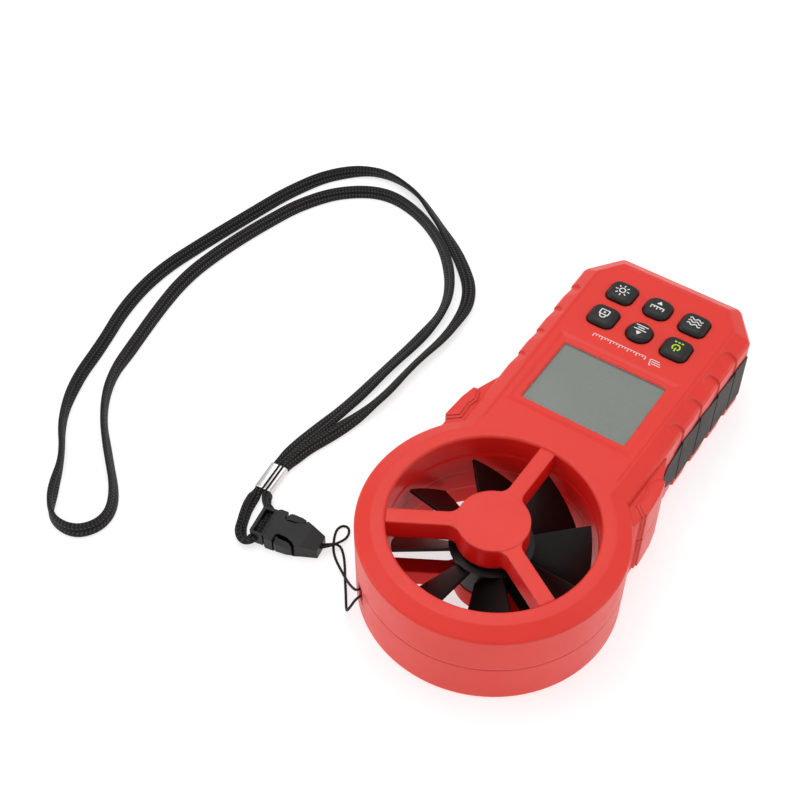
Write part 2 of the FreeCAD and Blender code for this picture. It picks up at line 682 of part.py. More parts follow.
STRAP_ROUTE = [
    ferrule_point(FERRULE_LENGTH / 2, -STRAND_OFFSET, STRAP_Z),
    (78.8, 33.4, STRAP_Z), (74.0, 19.0, STRAP_Z), (69.0, -0.9, STRAP_Z), (68.8, -21.0, STRAP_Z),
    (66.5, -41.1, STRAP_Z), (69.9, -61.7, STRAP_Z), (84.6, -76.3, STRAP_Z), (102.5, -88.0, STRAP_Z),
    (119.2, -97.9, STRAP_Z), (137.2, -99.3, STRAP_Z), (150.4, -88.0, STRAP_Z), (158.3, -71.6, STRAP_Z),
    (162.9, -52.2, STRAP_Z), (167.6, -30.5, STRAP_Z), (172.2, -7.0, STRAP_Z), (170.5, 13.9, STRAP_Z),
    (164.8, 32.4, STRAP_Z), (161.0, 50.4, STRAP_Z), (153.4, 66.4, STRAP_Z), (141.3, 79.2, STRAP_Z),
    (134.8, 91.4, STRAP_Z), (127.9, 100.0, STRAP_Z), (117.3, 99.6, STRAP_Z), (112.3, 91.0, STRAP_Z),
    (116.6, 81.1, STRAP_Z), (130.0, 69.4, STRAP_Z), (143.1, 57.3, STRAP_Z), (152.0, 43.1, STRAP_Z),
    (155.4, 26.9, STRAP_Z), (159.3, 8.8, STRAP_Z), (162.2, -10.1, STRAP_Z), (160.3, -29.7, STRAP_Z),
    (156.0, -49.0, STRAP_Z), (150.9, -66.9, STRAP_Z), (141.0, -81.5, STRAP_Z), (127.1, -89.9, STRAP_Z),
    (111.1, -87.3, STRAP_Z), (95.7, -79.2, STRAP_Z), (82.4, -66.5, STRAP_Z), (74.2, -50.8, STRAP_Z),
    (74.0, -33.0, STRAP_Z), (75.6, -14.0, STRAP_Z), (76.8, 5.0, STRAP_Z), (79.6, 22.0, STRAP_Z),
    (81.6, 33.5, STRAP_Z),
    ferrule_point(FERRULE_LENGTH / 2, STRAND_OFFSET, STRAP_Z)]

BUCKLE_START = Vector(72.0, 64.2, 0)
BUCKLE_AXIS = Vector(-0.985, -0.174, 0).normalize()
BUCKLE_SIDE = Vector(0.174, -0.985, 0).normalize()
BUCKLE_LENGTH = 22.5
BUCKLE_H = 5.4
BUCKLE_TIP_H = 4.2
BUCKLE_NOSE = 17.4


def buckle_point(along, side, z):
    point = BUCKLE_START + BUCKLE_AXIS * along + BUCKLE_SIDE * side
    return Vector(point.x, point.y, z)


def buckle_prism(outline, z0, z1):
    """A prism from (along, side) points in the buckle's own directions."""
    return polygon_face([buckle_point(a, s, z0) for a, s in outline]).extrude(UP * (z1 - z0))


def buckle_block(a0, a1, s0, s1, z0, z1):
    return buckle_prism([(a0, s0), (a1, s0), (a1, s1), (a0, s1)], z0, z1)


SLOT_ALONG = (0.9, 3.9)
SLOT_HALF = 4.6
COLLAR = 4.6
MOUTH = COLLAR + 0.2


def mirrored_outline(half):
    """Close a symmetric outline from its positive-side points, listed along the buckle."""
    return half + [(along, -side) for along, side in reversed(half)]


def buckle_male():
    """Strap side of the buckle: strap bar with its slot, shoulder and guide prong."""
    plate = buckle_prism(mirrored_outline([(-0.2, 4.8), (0.6, 5.7), (COLLAR, 5.7)]), 0.3, 5.0)
    slot = buckle_block(SLOT_ALONG[0], SLOT_ALONG[1], -SLOT_HALF, SLOT_HALF, -1, 9)
    prong = buckle_block(COLLAR - 0.2, 16.0, -1.1, 1.1, 1.8, 3.6)
    return fuse(plate.cut(slot), prong)


CHAMBER_Z = (0.7, 4.75)
ARM_GAP = 0.15


def buckle_arm(sign):
    """One springing side arm with the release boss that fills the notch in the socket's side."""
    outline = [(COLLAR, 3.2), (8.6, 3.4), (9.6, 3.9), (12.0, 4.0), (13.6, 4.4), (14.8, 5.5), (14.6, 5.9),
               (13.2, 6.3), (9.6, 6.5), (8.7, 6.0), (8.6, 4.5), (COLLAR, 4.3)]
    return buckle_prism([(along, sign * side) for along, side in outline],
                        CHAMBER_Z[0] + ARM_GAP, CHAMBER_Z[1] - ARM_GAP)


def buckle_female():
    """Cord side of the buckle: a tapering socket with a notch in each side and a sloping nose."""
    half = [(MOUTH, 5.4), (5.6, 6.1), (8.4, 6.1), (9.2, 5.4), (15.2, 5.4), (BUCKLE_NOSE, 4.6),
            (BUCKLE_LENGTH, 3.0)]
    body = buckle_prism(mirrored_outline(half), 0.0, BUCKLE_H)
    chamber = buckle_block(MOUTH - 1, 16.8, -4.6, 4.6, CHAMBER_Z[0], CHAMBER_Z[1])
    notch = [(8.2, 8.0), (8.2, 3.4), (9.2, 2.8), (12.0, 3.0), (14.5, 4.1), (15.6, 5.2), (15.6, 8.0)]
    notches = []
    for sign in (1, -1):
        notches.append(buckle_prism([(along, sign * side) for along, side in notch], CHAMBER_Z[0], 9))
    slope = (BUCKLE_H - BUCKLE_TIP_H) / (BUCKLE_LENGTH - BUCKLE_NOSE)
    end = BUCKLE_LENGTH + 2
    side_view = [(BUCKLE_NOSE, BUCKLE_H), (end, BUCKLE_H - slope * (end - BUCKLE_NOSE)), (end, 9.0),
                 (BUCKLE_NOSE, 9.0)]
    wedge = polygon_face([buckle_point(along, -8.0, z) for along, z in side_view]).extrude(BUCKLE_SIDE * 16)
    return body.cut([chamber, wedge] + notches).removeSplitter()


def ferrule():
    """Crimped metal sleeve that gathers the strap."""
    half = 3.1
    corners = []
    for along, side in ((-1, -1), (1, -1), (1, 1), (-1, 1)):
        corners.append(Vector(*ferrule_point(along * FERRULE_LENGTH / 2, side * half, 0)))
    sleeve = polygon_face(corners).extrude(UP * FERRULE_H)
    edges = []
    for edge in sleeve.Edges:
        direction = (edge.Vertexes[1].Point - edge.Vertexes[0].Point).normalize()
        if abs(direction.dot(FERRULE_AXIS)) > 0.99:
            edges.append(edge)
    return sleeve.makeFillet(1.0, edges)


TAIL_OUTER_ROUTE = [
    ferrule_point(-FERRULE_LENGTH / 2, STRAND_OFFSET, STRAP_Z), (79.7, 57.2, STRAP_Z), (78.3, 61.8, STRAP_Z),
    (76.4, 66.4, STRAP_Z), (74.0, 70.4, 1.4), (70.6, 71.8, 1.9), (68.9, 69.0, 2.4)]
TAIL_INNER_ROUTE = [
    ferrule_point(-FERRULE_LENGTH / 2, -STRAND_OFFSET, STRAP_Z), (76.1, 53.8, 1.3), (74.6, 55.7, 1.7),
    (72.9, 57.5, 2.2), (70.9, 58.5, 2.5)]

BUCKLE_TIP = buckle_point(BUCKLE_LENGTH, 0.0, 2.7)
TIP_OFFSET = 0.62


def tip_point(side):
    point = BUCKLE_TIP + BUCKLE_SIDE * side
    return (point.x, point.y, point.z)


EYE_CORD_Z = 12.4
EYE_WRAP = EYE_BAR_R + THIN_D / 2 + 0.3
STRAND_HALF = THIN_D / 2 + 0.12


def eye_point(out, side, z):
    radial, along = eye_direction()
    point = eye_bar_centre() + radial * out + along * side
    return (point.x, point.y, z)


THIN_Z = THIN_D / 2
THIN_ROUTE = [
    tip_point(TIP_OFFSET), (48.9, 58.3, 2.1), (47.3, 56.4, 1.5), (45.2, 56.2, 1.35), (42.9, 58.0, 0.7),
    (40.4, 60.9, THIN_Z), (37.6, 64.8, THIN_Z), (34.2, 69.2, THIN_Z), (30.6, 74.1, THIN_Z), (28.2, 76.5, 5.2),
    eye_point(2.3, STRAND_HALF, 10.8), eye_point(-1.6, EYE_WRAP, EYE_CORD_Z),
    eye_point(-1.6, -EYE_WRAP, EYE_CORD_Z), eye_point(2.3, -STRAND_HALF, EYE_CORD_Z),
    (30.2, 70.9, 8.8), (33.6, 68.2, 4.9), (37.5, 65.1, 1.8), (41.0, 62.7, 0.6), (44.2, 60.6, THIN_Z),
    (46.7, 58.3, THIN_Z), (48.3, 55.9, THIN_Z), (49.7, 53.4, THIN_Z), (50.6, 50.8, THIN_Z),
    (49.9, 48.6, THIN_Z), (47.9, 48.2, THIN_Z), (46.4, 49.9, THIN_Z), (45.9, 52.4, 0.8), (46.1, 54.8, 1.8),
    (46.7, 57.0, 2.6), (47.9, 59.1, 2.75), tip_point(-TIP_OFFSET)]


def eye_bar():
    centre = eye_bar_centre()
    return cylinder(centre.x, centre.y, EYE_BAR_R, EYE_Z[0], EYE_Z[1])


# ---------------------------------------------------------------- assembly
def build_nodes():
    nodes = {}
    nodes["front_shell"], nodes["rear_shell"] = shells()
    grip = grip_solid().cut(grip_grooves())
    nodes["grip_right"] = grip
    nodes["grip_left"] = mirrored(grip)
    nodes["front_guard"] = guard(GUARD_FRONT, FRONT_HUB_Z, (FRONT_HUB_Z[0], FRONT_HUB_Z[0] + BEARING_H))
    rear_guard = guard(GUARD_BACK, BACK_HUB_Z, (BACK_HUB_Z[1] - BEARING_H, BACK_HUB_Z[1]))
    nodes["rear_guard"] = rear_guard.cut(rotor_sensor())
    nodes["rotor_sensor"] = rotor_sensor()
    nodes["rotor_magnet"] = rotor_magnet()
    nodes["front_bearing"] = bearing(FRONT_HUB_Z[0])
    nodes["rear_bearing"] = bearing(BACK_HUB_Z[1] - BEARING_H)
    nodes["impeller"] = impeller()
    nodes["axle"] = cylinder(0, RING_Y, AXLE_R, 4.6, 26.6)
    window, glass, frame, light, strips = display()
    nodes["screen_window"] = window
    nodes["lcd_panel"] = glass
    nodes["lcd_frame"] = frame
    nodes["lcd_backlight"] = light
    nodes["contact_strips"] = Part.makeCompound(strips)
    nodes["main_board"] = main_board()
    nodes["board_chips"] = Part.makeCompound(chips())
    nodes["board_screws"] = Part.makeCompound(board_screws())
    nodes["key_switches"] = Part.makeCompound(tact_switches())
    for name, x, y, half, corner in key_places():
        nodes[name] = key_shape(x, y, half, corner)
    nodes["case_screws"] = Part.makeCompound(case_screws())
    body, posts, end, middle_z = battery()
    nodes["battery"] = body.fuse(posts)
    nodes["battery_snap"] = battery_snap(end, middle_z)
    nodes["battery_cradle"] = Part.makeCompound(battery_cradle())
    nodes["battery_cover"] = battery_cover()
    nodes["eye_bar"] = eye_bar()
    nodes["eye_cord"] = cord_tube(THIN_ROUTE, THIN_D, "eye cord")
    nodes["buckle_socket"] = buckle_female()
    nodes["buckle_plug"] = buckle_male()
    nodes["buckle_arm_a"] = buckle_arm(1)
    nodes["buckle_arm_b"] = buckle_arm(-1)
    nodes["strap_ferrule"] = ferrule()
    nodes["strap_tail_outer"] = cord_tube(TAIL_OUTER_ROUTE, STRAP_D, "outer tail")
    nodes["strap_tail_inner"] = cord_tube(TAIL_INNER_ROUTE, STRAP_D, "inner tail")
    nodes["strap_loop"] = cord_tube(STRAP_ROUTE, STRAP_D, "strap loop")
    return nodes


def main():
    os.makedirs("parts", exist_ok=True)
    for name, shape in build_nodes().items():
        shape.exportStep("parts/" + name + ".step")
        print(name, "solids", len(shape.Solids), "valid", shape.isValid(), "volume", round(shape.Volume))


main()
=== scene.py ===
import math

import bpy
from mathutils import Matrix, Vector, noise


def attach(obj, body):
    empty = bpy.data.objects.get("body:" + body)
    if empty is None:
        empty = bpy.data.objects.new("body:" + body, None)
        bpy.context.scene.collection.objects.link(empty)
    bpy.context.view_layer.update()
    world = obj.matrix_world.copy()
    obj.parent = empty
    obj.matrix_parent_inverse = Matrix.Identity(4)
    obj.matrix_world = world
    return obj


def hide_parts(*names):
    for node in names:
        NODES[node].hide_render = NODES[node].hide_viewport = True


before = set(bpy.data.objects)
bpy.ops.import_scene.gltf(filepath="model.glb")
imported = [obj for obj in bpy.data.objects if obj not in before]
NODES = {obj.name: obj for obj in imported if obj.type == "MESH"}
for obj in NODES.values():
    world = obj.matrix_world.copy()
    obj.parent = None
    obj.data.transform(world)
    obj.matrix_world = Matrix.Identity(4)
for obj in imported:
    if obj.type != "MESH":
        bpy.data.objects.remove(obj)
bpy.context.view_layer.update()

MM = 0.001
UP = Vector((0, 0, 1))

# sizes in millimetres, as in the CAD model
RING_Y = 40.9
FACE_Z = 32.5
TAIL_Y = -82.2
SCREEN_Y = -19.85
SCREEN_HALF = (18.3, 14.05)

# ------------------------------------------------------------------ camera, floor and light
CAMERA_PLACE = Vector((-0.124556, 0.279087, 0.392092))
CAMERA_AIM = Vector((0.0646, -0.0062, 0.0))
CAMERA_ROLL = 0.375            # degrees
CAMERA_LENS = 68.25
SENSOR_WIDTH = 36.0

camera_data = bpy.data.cameras.new("photo_camera")
camera_data.sensor_width = SENSOR_WIDTH
camera_data.lens = CAMERA_LENS
camera_data.clip_start = 0.01
camera_data.clip_end = 50.0
camera = bpy.data.objects.new("photo_camera", camera_data)
bpy.context.scene.collection.objects.link(camera)
heading = CAMERA_AIM - CAMERA_PLACE
turn = heading.to_track_quat("-Z", "Y").to_matrix() @ Matrix.Rotation(math.radians(CAMERA_ROLL), 3, "Z")
camera.matrix_world = Matrix.Translation(CAMERA_PLACE) @ turn.to_4x4()
bpy.context.scene.camera = camera
bpy.context.scene.view_settings.view_transform = "Standard"

SKY_STRENGTH = 0.61
world = bpy.data.worlds.new("studio")
bpy.context.scene.world = world
world.use_nodes = True
world.node_tree.nodes["Background"].inputs["Color"].default_value = (1.0, 1.0, 1.0, 1.0)
world.node_tree.nodes["Background"].inputs["Strength"].default_value = SKY_STRENGTH


def softbox(name, position, target, width, height, power):
    light = bpy.data.lights.new(name, "AREA")
    light.shape = "RECTANGLE"
    light.size = width
    light.size_y = height
    light.energy = power
    holder = bpy.data.objects.new(name, light)
    holder.location = position
    heading = Vector(target) - Vector(position)
    holder.rotation_euler = heading.to_track_quat("-Z", "Y").to_euler()
    bpy.context.scene.collection.objects.link(holder)


softbox("softbox_above", (0.25, -0.15, 0.95), (0.04, 0.0, 0.0), 0.8, 0.8, 3.6)
softbox("softbox_left", (0.9, 0.55, 0.55), (0.04, 0.02, 0.02), 0.5, 0.9, 2.2)
softbox("softbox_right", (-0.85, -0.35, 0.5), (0.02, 0.0, 0.02), 0.4, 0.9, 1.35)


# ------------------------------------------------------------------ materials
class Graph:
    """Builds one node material; an input is a number, a colour or another node's output."""

    def __init__(self, name):
        self.material = bpy.data.materials.new(name)
        self.material.use_nodes = True
        self.tree = self.material.node_tree
        self.shader = self.tree.nodes["Principled BSDF"]

    def node(self, kind, settings=None, **inputs):
        made = self.tree.nodes.new("ShaderNode" + kind)
        for key, value in (settings or {}).items():
            setattr(made, key, value)
        for key, value in inputs.items():
            self.feed(made, key.replace("_", " "), value)
        return made

    def feed(self, target, socket, value):
        if socket.isdigit():
            socket = int(socket)
        if isinstance(value, bpy.types.NodeSocket):
            self.tree.links.new(value, target.inputs[socket])
        else:
            target.inputs[socket].default_value = value

    def math(self, operation, a, b=0.0, c=0.0):
        made = self.tree.nodes.new("ShaderNodeMath")
        made.operation = operation
        for index, value in enumerate((a, b, c)):
            self.feed(made, str(index), value)
        return made.outputs[0]

    def place(self):
        return self.node("TexCoord").outputs["Object"]

    def grain(self, scale, detail=3.0, distortion=0.0):
        made = self.node("TexNoise", Vector=self.place(), Scale=scale, Detail=detail, Distortion=distortion)
        return made.outputs["Fac"]

    def remap(self, value, low, high, to_low, to_high):
        made = self.tree.nodes.new("ShaderNodeMapRange")
        for index, number in enumerate((value, low, high, to_low, to_high)):
            self.feed(made, str(index), number)
        return made.outputs["Result"]

    def blend(self, factor, first, second):
        made = self.tree.nodes.new("ShaderNodeMix")
        made.data_type = "RGBA"
        self.feed(made, "0", factor)
        for index, colour in ((6, first), (7, second)):
            if isinstance(colour, bpy.types.NodeSocket):
                self.tree.links.new(colour, made.inputs[index])
            else:
                made.inputs[index].default_value = (*colour, 1.0)
        return made.outputs[2]

    def bumped(self, height, depth, normal=None):
        made = self.node("Bump", Height=height, Strength=1.0, Distance=depth)
        if normal is not None:
            self.tree.links.new(normal, made.inputs["Normal"])
        return made.outputs["Normal"]

    def rounded(self, radius):
        """Normal of the surface with its edges softened over radius, and how near an edge it is."""
        soft = self.node("Bevel", {"samples": 6}, Radius=radius).outputs["Normal"]
        flat = self.node("NewGeometry").outputs["Normal"]
        dot = self.node("VectorMath", {"operation": "DOT_PRODUCT"})
        self.tree.links.new(soft, dot.inputs[0])
        self.tree.links.new(flat, dot.inputs[1])
        edge = self.remap(dot.outputs["Value"], 0.995, 0.86, 0.0, 1.0)
        return soft, edge

    def set(self, **inputs):
        for key, value in inputs.items():
            self.feed(self.shader, key.replace("_", " "), value)
        return self.material


def moulded(name, colour, rough, highlight_edge_colour=None, radius=0.35, grain=0.00002, grain_scale=1400.0,
            shade=0.06, specular=0.5):
    """Moulded plastic or rubber: fine mould grain, cloudy gloss, softened edges and a painted highlight along
    them.
    """
    g = Graph(name)
    soft, edge = g.rounded(radius * MM)
    cloud = g.remap(g.grain(38.0, 4.0), 0.3, 0.7, 0.0, 1.0)
    darker = tuple(c * (1.0 - shade) for c in colour)
    body = g.blend(cloud, darker, colour)
    # painted highlight: unless given, the edge colour is a lighter copy of the colour, laid along the edges
    # and broken up by noise
    if highlight_edge_colour is None:
        highlight_edge_colour = tuple(min(1.0, c * 1.12 + 0.01) for c in colour)
    edge_highlight_mask = g.math("MULTIPLY", edge, g.remap(g.grain(220.0, 5.0), 0.42, 0.6, 0.35, 1.0))
    body = g.blend(edge_highlight_mask, body, highlight_edge_colour)
    gloss = g.remap(g.grain(90.0, 5.0), 0.3, 0.7, rough - 0.04, rough + 0.05)
    normal = g.bumped(g.grain(grain_scale, 2.0), grain, soft)
    g.set(Base_Color=body, Roughness=gloss, Normal=normal, Metallic=0.0, Specular_IOR_Level=specular)
    return g.material


DISH_REACH = (1.6, 4.0)        # the dished border, measured outward from the screen's opening
DISH_DEPTH = 0.3
SIDE_HALF = 31.2               # half width of the handle where its sides start to taper
SIDE_START_Y = -70.2
SIDE_TAPER = 0.021
CHAMFER_NORMAL = (0.8, 0.6)
CHAMFER_REACH = 17.76
LINE_INSET = 6.1               # the fine line round the face, measured inward from the outline
LINE_HALF = 0.34
LINE_DEPTH = 0.12
LINE_END_Y = (7.0, 9.0)
PASSAGE_EDGE = (32.3, 33.2)
PASSAGE_TOP = (31.0, 32.0)
# painted reflected light: the deeper red laid inside the air passage
PAINTED_BOUNCE_RED = (0.78, 0.016, 0.012)


def case_plastic(name, colour, case_edge_highlight):
    """The case: satin moulded plastic with the dished screen border and the fine line round the face."""
    g = Graph(name)
    soft, edge = g.rounded(1.0 * MM)
    split = g.node("SeparateXYZ", Vector=g.place())
    x, y, z = (g.math("MULTIPLY", split.outputs[axis], 1 / MM) for axis in "XYZ")
    wide = g.math("ABSOLUTE", x)
    on_face = g.remap(z, FACE_Z - 0.6, FACE_Z - 0.2, 0.0, 1.0)
    # distance outside the screen's opening
    beyond = g.math("MAXIMUM", g.math("SUBTRACT", wide, SCREEN_HALF[0]),
                    g.math("SUBTRACT", g.math("ABSOLUTE", g.math("ADD", y, -SCREEN_Y)), SCREEN_HALF[1]))
    dish = g.node("MapRange", {"interpolation_type": "SMOOTHSTEP"})
    for index, number in enumerate((beyond, *DISH_REACH, 0.0, 1.0)):
        g.feed(dish, str(index), number)
    # distance inside the outline of the handle: side, chamfer and tail
    taper = g.math("MULTIPLY", g.math("ADD", y, -SIDE_START_Y), SIDE_TAPER)
    side = g.math("SUBTRACT", g.math("SUBTRACT", SIDE_HALF, taper), wide)
    from_tail = g.math("ADD", y, -TAIL_Y)
    corner = g.math("SUBTRACT", g.math("SUBTRACT", g.math("MULTIPLY", from_tail, CHAMFER_NORMAL[1]),
                                       g.math("MULTIPLY", wide, CHAMFER_NORMAL[0])), -CHAMFER_REACH)
    inset = g.math("MINIMUM", g.math("MINIMUM", side, corner), from_tail)
    off_line = g.math("ABSOLUTE", g.math("SUBTRACT", inset, LINE_INSET))
    line = g.math("SUBTRACT", 1.0, g.math("DIVIDE", off_line, LINE_HALF))
    line = g.math("MULTIPLY", g.math("MAXIMUM", line, 0.0), g.remap(y, *LINE_END_Y, 1.0, 0.0))
    sunk = g.math("MULTIPLY", g.math("SUBTRACT", dish.outputs["Result"], 1.0), DISH_DEPTH)
    relief = g.math("MULTIPLY", g.math("ADD", sunk, g.math("MULTIPLY", line, -LINE_DEPTH)), on_face)
    # inside the air passage a deeper red is painted in and the specular is lowered: painted reflected light,
    # standing in for the red light bouncing between its walls
    radius = g.math("SQRT", g.math("ADD", g.math("POWER", x, 2.0),
                                   g.math("POWER", g.math("SUBTRACT", y, RING_Y), 2.0)))
    painted_bounce_mask = g.math("MULTIPLY", g.remap(radius, *PASSAGE_EDGE, 1.0, 0.0), g.remap(z, *PASSAGE_TOP, 1.0, 0.0))
    cloud = g.remap(g.grain(38.0, 4.0), 0.3, 0.7, 0.0, 1.0)
    body = g.blend(cloud, tuple(c * 0.95 for c in colour), colour)
    body = g.blend(painted_bounce_mask, body, PAINTED_BOUNCE_RED)
    # painted highlight: a lighter red laid along the edges, broken up by noise
    edge_highlight_mask = g.math("MULTIPLY", edge, g.remap(g.grain(220.0, 5.0), 0.42, 0.6, 0.35, 1.0))
    body = g.blend(edge_highlight_mask, body, case_edge_highlight)
    gloss = g.remap(g.grain(90.0, 5.0), 0.3, 0.7, 0.32, 0.41)
    shaped = g.bumped(relief, MM, soft)
    grained = g.bumped(g.grain(1400.0, 2.0), 0.000012, shaped)
    g.set(Base_Color=body, Roughness=gloss, Metallic=0.0, Normal=grained,
          Specular_IOR_Level=g.remap(painted_bounce_mask, 0.0, 1.0, 0.35, 0.12))
    return g.material


def metal(name, colour, rough, painted_seam_shade=False):
    """Plated or turned metal with wiped gloss; with the seam flag set it is darkened to near black where its
    UV runs to the right, as painted shade.
    """
    g = Graph(name)
    soft, edge = g.rounded(0.15 * MM)
    wipe = g.grain(900.0, 6.0, 1.2)
    tone = g.blend(g.remap(g.grain(60.0, 3.0), 0.35, 0.65, 0.0, 1.0), tuple(c * 0.9 for c in colour), colour)
    if painted_seam_shade:
        split = g.node("SeparateXYZ", Vector=g.node("TexCoord").outputs["UV"])
        tone = g.blend(g.remap(split.outputs["X"], 0.3, 0.7, 0.0, 1.0), tone, (0.03, 0.028, 0.028))
    g.set(Base_Color=tone, Metallic=1.0, Roughness=g.remap(wipe, 0.3, 0.7, rough - 0.06, rough + 0.1),
          Normal=g.bumped(wipe, 0.000012, soft))
    return g.material


def braided(name):
    """Flat braided cord: columns of slanted stitches, each leaning the other way from the next."""
    g = Graph(name)
    uv = g.node("TexCoord").outputs["UV"]
    split = g.node("SeparateXYZ", Vector=uv)
    across, along = split.outputs["X"], split.outputs["Y"]
    column = g.math("FLOOR", across)
    inside = g.math("SUBTRACT", across, column)
    parity = g.math("SUBTRACT", g.math("MULTIPLY", g.math("MODULO", column, 2.0), 2.0), 1.0)
    slant = g.math("MULTIPLY", g.math("MULTIPLY", parity, g.math("SUBTRACT", inside, 0.5)), 0.8)
    wander = g.math("MULTIPLY", g.grain(160.0, 2.0), 0.35)
    phase = g.math("ADD", g.math("ADD", along, slant), wander)
    stitch = g.math("ABSOLUTE", g.math("SINE", g.math("MULTIPLY", phase, math.pi)))
    rib = g.math("SINE", g.math("MULTIPLY", inside, math.pi))
    height = g.math("MULTIPLY", g.math("POWER", stitch, 0.7), g.math("POWER", rib, 0.6))
    fibre = g.grain(5200.0, 3.0)
    tall = g.math("ADD", height, g.math("MULTIPLY", fibre, 0.2))
    lit = g.math("POWER", g.remap(tall, 0.45, 1.1, 0.0, 1.0), 2.0)
    colour = g.blend(lit, (0.0012, 0.0011, 0.0011), (0.075, 0.069, 0.068))
    g.set(Base_Color=colour, Roughness=0.7, Sheen_Weight=0.05, Sheen_Roughness=0.45, Specular_IOR_Level=0.25,
          Normal=g.bumped(tall, 0.0003))
    return g.material


def twisted(name):
    """Fine twisted cord: three plies that wind round it."""
    g = Graph(name)
    uv = g.node("TexCoord").outputs["UV"]
    split = g.node("SeparateXYZ", Vector=uv)
    ply = g.math("ADD", g.math("MULTIPLY", split.outputs["X"], 3.0), split.outputs["Y"])
    ridge = g.math("ABSOLUTE", g.math("SINE", g.math("MULTIPLY", ply, math.pi)))
    tall = g.math("ADD", ridge, g.math("MULTIPLY", g.grain(6000.0, 2.0), 0.3))
    # painted light: the ply ridges lighter and the grooves between them darker
    colour = g.blend(g.remap(tall, 0.2, 1.2, 0.0, 1.0), (0.0015, 0.0014, 0.0014), (0.014, 0.0125, 0.0125))
    g.set(Base_Color=colour, Roughness=0.6, Specular_IOR_Level=0.25, Normal=g.bumped(tall, 0.00006))
    return g.material


def clear_window(name):
    """Clear window: faint haze, and more mirror than glass at a shallow angle."""
    g = Graph(name)
    haze = g.grain(30.0, 3.0)
    g.set(Base_Color=(0.85, 0.88, 0.85, 1.0), Roughness=g.remap(haze, 0.3, 0.7, 0.04, 0.1), IOR=1.49,
          Normal=g.bumped(g.grain(18.0, 1.0), 0.00002))
    facing = g.node("LayerWeight", Blend=0.28).outputs["Fresnel"]
    g.set(Alpha=g.remap(facing, 0.0, 1.0, 0.1, 0.95))
    return g.material


def display_glass(name):
    """Unlit reflective display: grey-green with a faint mottle and soft cloudy patches."""
    g = Graph(name)
    mottle = g.remap(g.grain(900.0, 4.0), 0.35, 0.65, 0.0, 1.0)
    cloud = g.remap(g.grain(24.0, 2.0), 0.35, 0.65, 0.0, 1.0)
    base = g.blend(mottle, (0.215, 0.246, 0.212), (0.232, 0.264, 0.228))
    base = g.blend(g.math("MULTIPLY", cloud, 0.35), base, (0.252, 0.284, 0.246))
    g.set(Base_Color=base, Roughness=0.34, Normal=g.bumped(g.grain(2400.0, 2.0), 0.000008))
    return g.material


def printed_board(name):
    """Circuit board: solder mask with a fine pattern of tracks."""
    g = Graph(name)
    brick = g.node("TexBrick", Vector=g.place(), Scale=260.0)
    for key, colour in (("Color1", (0.01, 0.09, 0.035)), ("Color2", (0.012, 0.11, 0.04)),
                        ("Mortar", (0.02, 0.17, 0.06))):
        brick.inputs[key].default_value = (*colour, 1.0)
    g.set(Base_Color=brick.outputs["Color"], Roughness=0.35,
          Normal=g.bumped(brick.outputs["Fac"], 0.00003))
    return g.material


RED = (0.787, 0.036, 0.023)
SLOT_MATERIALS = {
    # the case's third colour is the lighter red of its painted edge highlight
    "case_red": case_plastic("case_red_gloss", RED, (0.84, 0.085, 0.065)),
    "grip_rubber": moulded("grip_rubber_grained", (0.034, 0.027, 0.026), 0.62,
                           highlight_edge_colour=(0.055, 0.045, 0.043), radius=0.4,
                           grain=0.00004, grain_scale=1900.0, shade=0.12, specular=0.35),
    "rotor_black": moulded("rotor_black_satin", (0.0045, 0.004, 0.004), 0.34,
                           highlight_edge_colour=(0.02, 0.019, 0.019), radius=0.15, specular=0.32),
    "steel": metal("steel_turned", (0.62, 0.61, 0.6), 0.28),
    "screen_glass": clear_window("window_clear"),
    "lcd_grey": display_glass("display_grey_green"),
    "white_plastic": moulded("white_plastic_matt", (0.72, 0.72, 0.69), 0.45),
    "board_green": printed_board("board_solder_mask"),
    "component_black": moulded("component_black_matt", (0.02, 0.02, 0.022), 0.5),
    "key_rubber": moulded("key_rubber_matt", (0.0105, 0.0085, 0.009), 0.47, highlight_edge_colour=(0.03, 0.027, 0.027),
                          grain=0.00002, specular=0.4),
    "battery_wrap": moulded("battery_wrap_gloss", (0.035, 0.05, 0.09), 0.3),
    "magnet_grey": metal("magnet_sintered", (0.22, 0.22, 0.23), 0.5),
    "strap_black": braided("strap_braid_black"),
    "buckle_black": moulded("buckle_black_satin", (0.008, 0.0075, 0.0075), 0.4,
                            highlight_edge_colour=(0.03, 0.028, 0.028), radius=0.3, grain=0.00003, specular=0.32),
    "ferrule_silver": metal("ferrule_plated", (0.74, 0.73, 0.725), 0.26, painted_seam_shade=True),
}
CORD_BLACK = twisted("cord_twist_black")
LEGEND_WHITE = moulded("legend_print_white", (0.78, 0.78, 0.76), 0.5)
LEGEND_LIME = moulded("legend_print_lime", (0.52, 0.74, 0.03), 0.5)

for node in NODES.values():
    for material_slot in node.material_slots:
        material_slot.material = SLOT_MATERIALS[material_slot.material.name.split(".")[0]]


# ------------------------------------------------------------------ mesh helpers
def piece(name, points, faces, material, body, smooth=True, uvs=None):
    """A mesh piece from points in millimetres that rides on a CAD body."""
    mesh = bpy.data.meshes.new(name)
    mesh.from_pydata([tuple(c * MM for c in p) for p in points], [], faces)
    if uvs is not None:
        layer = mesh.uv_layers.new(name="lay")
        corner_uvs = [value for face in uvs for uv in face for value in uv]
        layer.data.foreach_set("uv", corner_uvs)
    mesh.polygons.foreach_set("use_smooth", [smooth] * len(mesh.polygons))
    mesh.validate()
    mesh.update()
    made = bpy.data.objects.new(name, mesh)
    made.data.materials.append(material)
    bpy.context.scene.collection.objects.link(made)
    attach(made, body)
    return made


